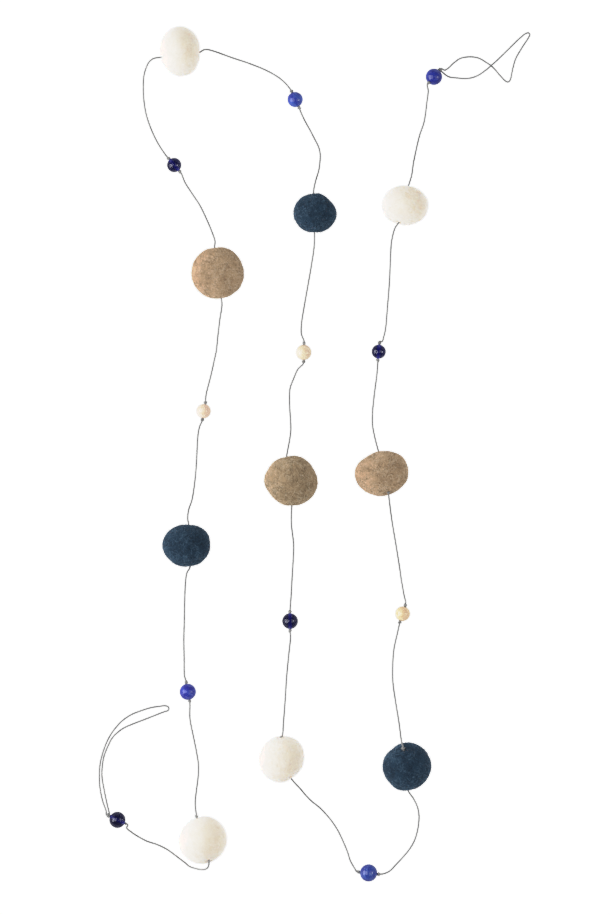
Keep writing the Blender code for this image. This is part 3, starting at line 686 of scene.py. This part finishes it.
def make_fuzz(ball, rng):
    """Short curled fibres that stand out of a ball's surface."""
    dirs = unit(rng.normal(size=(FUZZ_COUNT, 3)))
    base = ball_surface(ball, dirs)
    tangent = unit(np.cross(dirs, unit(rng.normal(size=dirs.shape))))
    across = np.cross(dirs, tangent)
    long = rng.uniform(*FUZZ_LENGTH, FUZZ_COUNT)[:, None] * MM
    lean = np.radians(rng.uniform(*FUZZ_LEAN, FUZZ_COUNT))[:, None]
    curl = np.radians(rng.uniform(*FUZZ_CURL, FUZZ_COUNT))[:, None]
    sway = rng.uniform(-FUZZ_SWAY, FUZZ_SWAY, FUZZ_COUNT)[:, None]
    start = base - dirs * FUZZ_ROOT
    middle = start + long * 0.5 * (np.cos(lean) * tangent + np.sin(lean) * dirs)
    end = middle + long * 0.5 * unit(np.cos(curl) * tangent + np.sin(curl) * dirs + sway * across)
    paths = np.stack([start, middle, end], axis=1)
    radii = np.tile(np.array([1.0, 0.85, 0.3]) * FUZZ_RADIUS, (FUZZ_COUNT, 1))
    points, faces = strands(paths, radii, across)
    return above_table(points, ball_centre(ball)), faces


def make_threads(ball, rng):
    """Longer fibres that lie on a ball's surface in loose arcs."""
    count = THREAD_COUNT[ball.colour]
    dirs = unit(rng.normal(size=(count, 3)))
    tangent = unit(np.cross(dirs, unit(rng.normal(size=dirs.shape))))
    long = rng.uniform(*THREAD_LENGTH, count)
    curve = rng.normal(0, THREAD_CURVE, count)
    rows = []
    d, t = dirs, tangent
    step = (long / (THREAD_POINTS - 1))[:, None]
    for _ in range(THREAD_POINTS):
        rows.append(d)
        d_next = unit(d * np.cos(step) + t * np.sin(step))
        t = unit(t - d_next * (t * d_next).sum(1, keepdims=True))
        side = np.cross(d_next, t)
        t = unit(t + side * (curve[:, None] * step))
        d = d_next
    grid = np.stack(rows, axis=1)
    surface = ball_surface(ball, grid.reshape(-1, 3)).reshape(grid.shape)
    share = np.linspace(0, 1, THREAD_POINTS)
    lift = (THREAD_LIFT[0] + THREAD_LIFT[1] * np.sin(np.pi * share)) * MM
    paths = surface + grid * lift[None, :, None]
    taper = np.clip(np.minimum(share, 1 - share) * 6, 0.25, 1)
    radii = rng.uniform(0.7, 1.25, count)[:, None] * taper[None, :] * THREAD_RADIUS
    points, faces = strands(paths, radii, dirs)
    return above_table(points, ball_centre(ball)), faces


# Materials -----------------------------------------------------------------------------------


class Nodes:
    """A material's node tree, with short calls to add nodes to it."""

    def __init__(self, name):
        self.material = bpy.data.materials.new(name)
        self.material.use_nodes = True
        self.tree = self.material.node_tree
        self.shader = self.tree.nodes["Principled BSDF"]

    def add(self, kind, settings=None, **inputs):
        node = self.tree.nodes.new(kind)
        for key, value in (settings or {}).items():
            setattr(node, key, value)
        for key, value in inputs.items():
            self.set(node, key, value)
        return node

    def set(self, node, key, value):
        """Give an input a value or a link. Its key is its name with underscores, or i and its number."""
        numbered = key[0] == "i" and key[1:].isdigit()
        socket = node.inputs[int(key[1:]) if numbered else key.replace("_", " ")]
        if isinstance(value, bpy.types.NodeSocket):
            self.tree.links.new(value, socket)
        else:
            socket.default_value = value

    def math(self, operation, a, b=0.0):
        return self.add("ShaderNodeMath", {"operation": operation}, i0=a, i1=b).outputs[0]

    def vector_math(self, operation, **inputs):
        return self.add("ShaderNodeVectorMath", {"operation": operation}, **inputs).outputs[0]

    def mix(self, factor, a, b):
        return self.add("ShaderNodeMix", {"data_type": "RGBA"}, i0=factor, i6=a, i7=b).outputs[2]

    def toned(self, colour, tone, mask, share):
        """The colour, with a share of an sRGB tone over it where the mask is 1."""
        return self.mix(self.math("MULTIPLY", mask, share), colour, linear(tone))

    def ramp(self, value, low, high):
        """0 to 1 as the value goes from low to high, eased at both ends."""
        node = self.add("ShaderNodeMapRange", {"interpolation_type": "SMOOTHSTEP"}, i0=value)
        node.inputs[1].default_value, node.inputs[2].default_value = low, high
        return node.outputs[0]

    def noise(self, vector, scale, detail=2.0, roughness=0.5, distortion=0.0):
        settings = {"Scale": scale, "Detail": detail, "Roughness": roughness, "Distortion": distortion}
        return self.add("ShaderNodeTexNoise", Vector=vector, **settings).outputs[0]

    def lines(self, vector, scale, width):
        """Thin wandering lines, broken up here and there."""
        away = self.math("ABSOLUTE", self.math("SUBTRACT", self.noise(vector, scale, 2.0, 0.5, 0.3), 0.5))
        shown = self.ramp(self.noise(vector, scale * 0.4, 1.0), 0.44, 0.58)
        return self.math("MULTIPLY", self.ramp(away, width, width * 0.2), shown)

    def mapped(self, vector, location=(0, 0, 0), rotation=(0, 0, 0), scale=(1, 1, 1)):
        settings = {"Location": location, "Rotation": [math.radians(a) for a in rotation], "Scale": scale}
        return self.add("ShaderNodeMapping", Vector=vector, **settings).outputs[0]

    def place(self, location=(0, 0, 0), rotation=(0, 0, 0)):
        """The place on the object, moved and turned so that objects show different parts of a pattern."""
        return self.mapped(self.add("ShaderNodeTexCoord").outputs["Object"], location, rotation)

    def swirled(self, place, scale, reach):
        """The place, pushed about by a noise."""
        drift = self.add("ShaderNodeTexNoise", Vector=place, Scale=scale, Detail=2.0).outputs["Color"]
        centred = self.vector_math("SUBTRACT", i0=drift, i1=(0.5, 0.5, 0.5))
        return self.vector_math("ADD", i0=place, i1=self.vector_math("SCALE", i0=centred, Scale=reach))

    def principled(self, **inputs):
        for key, value in inputs.items():
            self.set(self.shader, key, value)

    def bump(self, height, strength, distance):
        node = self.add("ShaderNodeBump", Height=height, Strength=strength, Distance=distance)
        self.set(self.shader, "Normal", node.outputs[0])


def felt_material(name, tones, felt, offset):
    """Wool felt: soft patches of tone, fibres at three slants with painted shade in the gaps between them,
    creases with painted shade in them, and pale hairs over them.
    """
    dark, middle, light, hair = tones
    n = Nodes(name)
    place = n.place(location=(offset * 0.031, offset * 0.017, offset * 0.023))
    swirled = n.swirled(place, *SWIRL)
    turned = [n.mapped(swirled, rotation=turn, scale=FIBRE_STRETCH) for turn in FIBRE_TURNS]
    streaks = [n.noise(vector, FIBRE_SCALE, 3.0, 0.62) for vector in turned]
    fibres = n.math("MAXIMUM", n.math("MAXIMUM", streaks[0], streaks[1]), streaks[2])
    # The gaps between the fibres are painted darker, as shade in them
    fibre_gap_shade = n.math("MINIMUM", n.math("MINIMUM", streaks[0], streaks[1]), streaks[2])

    def wrinkles(turns, width):
        moved = [n.mapped(place, (0.1, 0.5, 0.3), turn, WRINKLE_STRETCH) for turn in turns]
        return n.math("MAXIMUM", *[n.lines(vector, WRINKLE_SCALE, width) for vector in moved])

    # The creases are sunk in the bump and painted darker, as shade in them
    shaded_creases, hairs = wrinkles(CREASE_TURNS, 0.04), wrinkles(HAIR_TURNS, 0.035)
    patches, blotches = n.noise(swirled, PATCH_SCALE), n.noise(swirled, BLOTCH_SCALE, 4.0, 0.65)
    colour = linear(middle)
    for tone, mask, share in (
        (dark, n.ramp(patches, 0.36, 0.64), 0.3),
        (dark, n.ramp(blotches, 0.48, 0.70), 0.3),
        (light, n.ramp(fibres, 0.56, 0.74), 0.45),
        # painted shade in the fibre gaps and in the creases
        (dark, n.ramp(fibre_gap_shade, 0.40, 0.26), 0.5),
        (dark, shaded_creases, 0.55),
        (hair, hairs, 0.36),
    ):
        colour = n.toned(colour, tone, mask, share)
    n.principled(Base_Color=colour, Diffuse_Roughness=0.4, Roughness=0.93, Specular_IOR_Level=0.25)
    n.principled(Sheen_Weight=felt.sheen, Sheen_Roughness=0.5, Sheen_Tint=linear(light))
    n.principled(Subsurface_Weight=felt.subsurface, Subsurface_Scale=0.0075)
    n.principled(Subsurface_Radius=(1.0, 1.0, 1.0))
    grain, crumple = n.noise(swirled, GRAIN_SCALE, 2.0, 0.6), n.noise(place, CRUMPLE_SCALE, 3.0, 0.6, 0.4)
    height = fibres
    for relief, times in ((grain, 0.45), (shaded_creases, -2.0), (crumple, 6.0)):
        height = n.math("ADD", height, n.math("MULTIPLY", relief, times))
    n.bump(height, 0.55 * (1 - 0.5 * felt.subsurface), 0.25 * MM)  # scattered light softens the relief
    return n.material


def fibre_material(name, colour, light, subsurface):
    """Single wool fibres, of two tones."""
    n = Nodes(name)
    tone = n.ramp(n.noise(n.place(), 900, 1.0), 0.35, 0.65)
    n.principled(Base_Color=n.mix(tone, linear(colour), linear(light)), Roughness=0.9)
    n.principled(Specular_IOR_Level=0.2, Subsurface_Weight=subsurface, Subsurface_Scale=0.001)
    return n.material


def cord_material(name, dark, light, worn):
    """Waxed cord: mottled grey fibres with a dull shine."""
    n = Nodes(name)
    place = n.place()
    grain = n.noise(place, 3800, 2.0, 0.6)
    colour = n.mix(n.ramp(n.noise(place, 220, 3.0, 0.6), 0.3, 0.7), linear(dark), linear(light))
    colour = n.toned(colour, worn, n.ramp(grain, 0.5, 0.7), 0.35)
    n.principled(Base_Color=colour, Roughness=0.55, Specular_IOR_Level=0.45)
    n.bump(grain, 0.5, 0.08 * MM)
    return n.material


def cobalt_material():
    """Deep blue glass that lets light through only where it is thin."""
    n = Nodes("glass_cobalt")
    n.principled(Base_Color=(1, 1, 1, 1), Roughness=0.2, Transmission_Weight=1.0, IOR=1.58)
    n.principled(Specular_Tint=(0.8, 0.8, 1.0, 1))
    volume = n.add("ShaderNodeVolumeAbsorption", Color=(0.04, 0.05, 0.58, 1), Density=1000.0)
    n.tree.links.new(volume.outputs[0], n.tree.nodes["Material Output"].inputs["Volume"])
    return n.material


def bore_glow_material():
    """The frosted wall of a cobalt bead's bore, with a painted blue glow that stands in for the light the
    glass gathers into it.
    """
    n = Nodes("glass_bore")
    n.principled(Base_Color=(0.5, 0.5, 0.8, 1), Roughness=0.6)
    # Painted glow: a blue emission that stands in for the light the glass gathers onto the bore
    n.principled(Emission_Color=(0.04, 0.03, 1.0, 1), Emission_Strength=0.32)
    n.material.cycles.emission_sampling = "NONE"
    return n.material


def blue_material(name, tones, turn, offset):
    """Milky blue glass with pale and dark streaks."""
    first, second, pale, deep = tones
    n = Nodes(name)
    place = n.place(location=(offset * 0.01, offset * 0.023, 0), rotation=turn)
    broad = n.noise(n.mapped(place, scale=(1, 1, 0.4)), 190, 2.0, 0.5, 1.2)
    streak = n.noise(n.mapped(place, scale=(1, 1, 0.22)), 620, 3.0, 0.55, 1.6)
    colour = n.mix(n.ramp(broad, 0.35, 0.65), linear(first), linear(second))
    colour = n.toned(colour, pale, n.ramp(streak, 0.54, 0.70), 0.45)
    colour = n.toned(colour, deep, n.ramp(streak, 0.42, 0.30), 0.35)
    n.principled(Base_Color=colour, Roughness=0.2)
    return n.material


def cream_material(name, tones, offset):
    """Opaque cream glass, mottled and specked, with a satin shine."""
    first, second, speck = tones
    n = Nodes(name)
    place = n.place(location=(offset * 0.013, 0, offset * 0.021))
    mottle = n.ramp(n.noise(place, 420, 3.0, 0.55, 0.6), 0.36, 0.64)
    colour = n.mix(mottle, linear(first), linear(second))
    colour = n.toned(colour, speck, n.ramp(n.noise(place, 1500), 0.6, 0.74), 0.5)
    n.principled(Base_Color=colour, Roughness=0.24)
    return n.material


# The pieces ----------------------------------------------------------------------------------


def bead_section(radius):
    """Half the section of a drilled bead, as a ring of points (along the bore, away from it).

    With it comes the range of the ring's sides that make the wall of the bore.
    """
    start = math.asin((BORE_RADIUS + LIP) / radius)
    angles = np.linspace(start, math.pi - start, BEAD_ARCS + 1)
    outer = [(radius * math.cos(a), radius * math.sin(a)) for a in angles]
    edge = radius * math.cos(start)
    lip = [(edge - LIP * (1 - math.cos(a)), BORE_RADIUS + LIP * (1 - math.sin(a)))
           for a in map(math.radians, LIP_ANGLES)]
    bore = [(x, BORE_RADIUS) for x in np.linspace(-edge + LIP, edge - LIP, BORE_RINGS)[1:-1]]
    section = outer + [(-x, r) for x, r in lip] + bore + [(x, r) for x, r in reversed(lip)]
    return section, range(len(outer) + 2, len(outer) + 2 + len(bore) + 1)


def bead_mesh(bead, seed):
    """Points, faces, material indices and centre of a drilled bead."""
    centre, _, radius = bead_frame(bead)
    turn = np.array(Euler((0, math.radians(-bead.elevation), math.radians(bead.azimuth))).to_matrix())
    section, inner = bead_section(radius * BEAD_FULLNESS)
    shift = Vector((seed * 3.7, 0, 0))  # each bead's own part of the noise
    points = []
    for i in range(BEAD_SEGMENTS):
        angle = 2 * math.pi * i / BEAD_SEGMENTS
        for x, r in section:
            p = Vector((x, r * math.cos(angle), r * math.sin(angle)))
            if r > BORE_RADIUS + LIP:
                p *= 1 + UNEVENNESS[bead.colour] * noise.fractal(p * UNEVEN_SCALE + shift, 1.0, 2.0, 2)
            points.append(p)
    points = np.array(points) @ turn.T + centre
    points[:, 2] = np.maximum(points[:, 2], 0.0)
    count = len(section)
    faces, kinds = [], []
    for i in range(BEAD_SEGMENTS):
        a, b = i * count, (i + 1) % BEAD_SEGMENTS * count
        for j in range(count):
            k = (j + 1) % count
            faces.append((a + j, a + k, b + k, b + j))
            kinds.append(1 if j in inner else 0)
    return points, faces, kinds, centre


def make_beads():
    # The bore's wall carries a painted blue glow
    cobalt, bore = cobalt_material(), bore_glow_material()
    for number, bead in enumerate(BEADS, 1):
        name, colour = bead.name, bead.colour
        points, faces, kinds, centre = bead_mesh(bead, number)
        if colour == "cobalt":
            materials = [cobalt, bore]
        elif colour == "blue":
            materials = [blue_material(f"glass_blue_{number:02d}", *BLUE_GLASS[name], number)]
        else:
            materials = [cream_material(f"glass_cream_{number:02d}", CREAM_GLASS[name], number)]
        if len(materials) == 1:
            kinds = None
        piece = add_piece(f"glass_{name}", points, faces, materials, centre, kinds)
        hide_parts(name)


def make_balls():
    dirs, faces = sphere_directions()
    fuzz, threads = {}, {}
    for colour, felt in FELT.items():
        _, middle, light, hair = felt.tones
        fuzz[colour] = fibre_material(f"fuzz_{colour}", middle, light, felt.subsurface)
        threads[colour] = fibre_material(f"threads_{colour}", light, hair, felt.subsurface)
    for number, ball in enumerate(BALLS, 1):
        name, colour = ball.name, ball.colour
        felt = FELT[colour]
        centre = ball_centre(ball)
        material = felt_material(f"felt_{number:02d}_{colour}", TONES.get(name, felt.tones), felt, number)
        piece = add_piece(f"felt_{name}", ball_surface(ball, dirs) + centre, faces, [material], centre)
        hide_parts(name)
        for kind, made, paint in (("fuzz", make_fuzz, fuzz), ("threads", make_threads, threads)):
            points, strand_faces = made(ball, random)
            extra = add_piece(f"{kind}_{name}", points + centre, strand_faces, [paint[colour]], centre)


def wound_knots(rng):
    """Points and faces of all the knots, and of the fibres that stand out of those at the balls."""
    parts, loose = [], []
    for number, bead in enumerate(BEADS):
        centre, bore, radius = bead_frame(bead)
        for side in (-1, 1):
            end_of_loop = (number == 0 and side == -1) or (number == len(BEADS) - 1 and side == 1)
            half = LOOP_KNOT_HALF_LENGTH if end_of_loop else KNOT_HALF_LENGTH
            winding = LOOP_KNOT if end_of_loop else BEAD_KNOT
            size = SMALL_KNOTS.get((bead.name, side), 1)
            middle = centre + side * bore * (radius + KNOT_TO_BEAD + half * size - KNOT_SNUG)
            length = KNOT_LENGTH * half * size
            parts.append(knot(middle, bore * side, winding, length, number * 1.3 + side, size))
    for stretch, ball in zip(STRETCHES, BALLS):
        for which in stretch["knots"]:
            hole = np.array(stretch[f"hole_{which}"]) * MM
            out = unit(hole - ball_centre(ball))
            middle = hole + out * HOLE_KNOT_OUT
            parts.append(knot(middle, out, HOLE_KNOT, HOLE_KNOT_LENGTH, hole[0] * 90))
            loose.append(frays(middle, out, FRAY_COUNT, FRAY_LENGTH, rng))
    return joined(parts), joined(loose)


def make_cord():
    line = whole_cord()
    points, faces = plied(line, CORD_RADIUS)
    points[:, 2] = np.maximum(points[:, 2], 0)
    material = cord_material("waxed_cord", *CORD_TONES)
    cord = add_piece("garland_cord", points, faces, [material])
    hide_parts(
        *[f"cord_{i:02d}" for i in range(1, len(STRETCHES) + 1)], "cord_loop_a", "cord_loop_b",
    )
    wound, frayed = wound_knots(random)
    # The knots and frayed ends take lighter tones of the same cord, painted light against the shade of the
    # knots' turns
    lighter = cord_material("waxed_cord_knots", *KNOT_PAINTED_LIGHT_TONES)
    knots = add_piece("knots", *wound, [lighter])
    tufts = add_piece("frayed_ends", *frayed, [lighter])


# Studio --------------------------------------------------------------------------------------


def make_camera():
    data = bpy.data.cameras.new("camera")
    data.lens, data.sensor_width, data.sensor_fit = LENS, SENSOR, "AUTO"
    data.clip_start, data.clip_end = 0.1, 100
    camera = bpy.data.objects.new("camera", data)
    bpy.context.scene.collection.objects.link(camera)
    away = PICTURE[1] * PIXEL * LENS / SENSOR
    camera.location = (*PICTURE_CENTRE, VIEW_PLANE + away)
    bpy.context.scene.camera = camera


def area_light(name, azimuth, elevation, away, size, radiance):
    """A softbox that faces the garland, of the given radiance."""
    data = bpy.data.lights.new(name, "AREA")
    data.shape, data.size, data.size_y = "RECTANGLE", size[0], size[1]
    data.energy = math.pi * size[0] * size[1] * radiance
    light = bpy.data.objects.new(name, data)
    bpy.context.scene.collection.objects.link(light)
    place = Vector(direction(azimuth, elevation)) * away
    light.location = place
    light.rotation_euler = place.to_track_quat("Z", "Y").to_euler()
    light.visible_camera = False


def make_sky():
    """Grey surroundings, lighter towards the horizon."""
    world = bpy.data.worlds.new("studio")
    world.use_nodes = True
    tree = world.node_tree
    sky = tree.nodes.new("ShaderNodeSeparateXYZ")
    fade = tree.nodes.new("ShaderNodeMapRange")
    for socket, value in zip(fade.inputs[1:5], (0.0, SKY_TOP, *SKY)):
        socket.default_value = value
    tree.links.new(tree.nodes.new("ShaderNodeTexCoord").outputs["Generated"], sky.inputs[0])
    tree.links.new(sky.outputs["Z"], fade.inputs[0])
    tree.nodes["Background"].inputs["Color"].default_value = (1, 1, 1, 1)
    tree.links.new(fade.outputs[0], tree.nodes["Background"].inputs["Strength"])
    bpy.context.scene.world = world


def make_table():
    """A white table that glows, as an overexposed background does."""
    n = Nodes("table_white")
    n.principled(Base_Color=(*[TABLE_WHITENESS] * 3, 1), Roughness=0.9, Specular_IOR_Level=0.0)
    n.principled(Emission_Color=(1, 1, 1, 1), Emission_Strength=TABLE_GLOW)
    corners = [(x * TABLE_HALF, y * TABLE_HALF, 0) for x, y in ((-1, -1), (1, -1), (1, 1), (-1, 1))]
    mesh = bpy.data.meshes.new("table")
    mesh.from_pydata(corners, [], [(0, 1, 2, 3)])
    mesh.materials.append(n.material)
    table = bpy.data.objects.new("table", mesh)
    table.location.z = -TABLE_DROP
    table.visible_glossy = False
    bpy.context.scene.collection.objects.link(table)


def set_response():
    """The camera's response, as a curve from light in the scene to light in the picture."""
    settings = bpy.context.scene.view_settings
    settings.view_transform, settings.look = "Standard", "None"
    settings.use_curve_mapping = True
    response = settings.curve_mapping
    brightest = RESPONSE[-1][0]
    response.white_level = (brightest, brightest, brightest)
    curve = response.curves[3]
    curve.points[-1].location = (1.0, RESPONSE[-1][1])
    for scene_light, shown in RESPONSE[1:-1]:
        curve.points.new(scene_light / brightest, shown)
    response.update()


def make_studio():
    make_sky()
    for name, *light in LIGHTS:
        area_light(name, *light)
    make_table()
    set_response()


make_camera()
make_cord()
make_balls()
make_beads()
make_studio()

bpy.context.view_layer.update()
